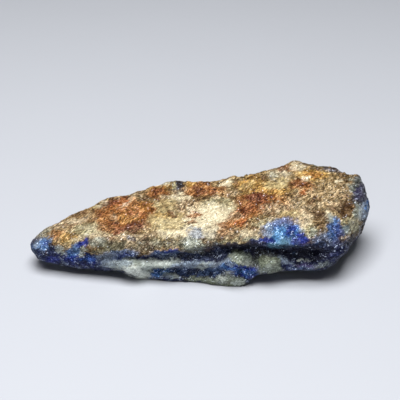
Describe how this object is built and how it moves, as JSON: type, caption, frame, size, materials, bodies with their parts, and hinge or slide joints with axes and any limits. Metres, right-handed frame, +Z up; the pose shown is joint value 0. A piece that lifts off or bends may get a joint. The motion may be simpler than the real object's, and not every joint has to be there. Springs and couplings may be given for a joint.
{
  "type": "rough afghanite stone",
  "caption": "Wedge-shaped broken stone of rust and cream rock with blue crystal patches and a layered front edge, resting on a small flat foot.",
  "frame": {"origin": "middle of the stone's box in X and Y, on the plane of its flat foot", "axes": "+X along the stone from its thin tip to its blunt end, +Y away from its layered broken edge, +Z up"},
  "size_m": [0.0536, 0.0192, 0.0133],
  "materials": {
    "stone": "rough broken crystalline rock, rust and cream on top, with blue and pale green layers at the front"
  },
  "bodies": {
    "root": {"afghanite_stone": "stone"}
  },
  "joints": []
}
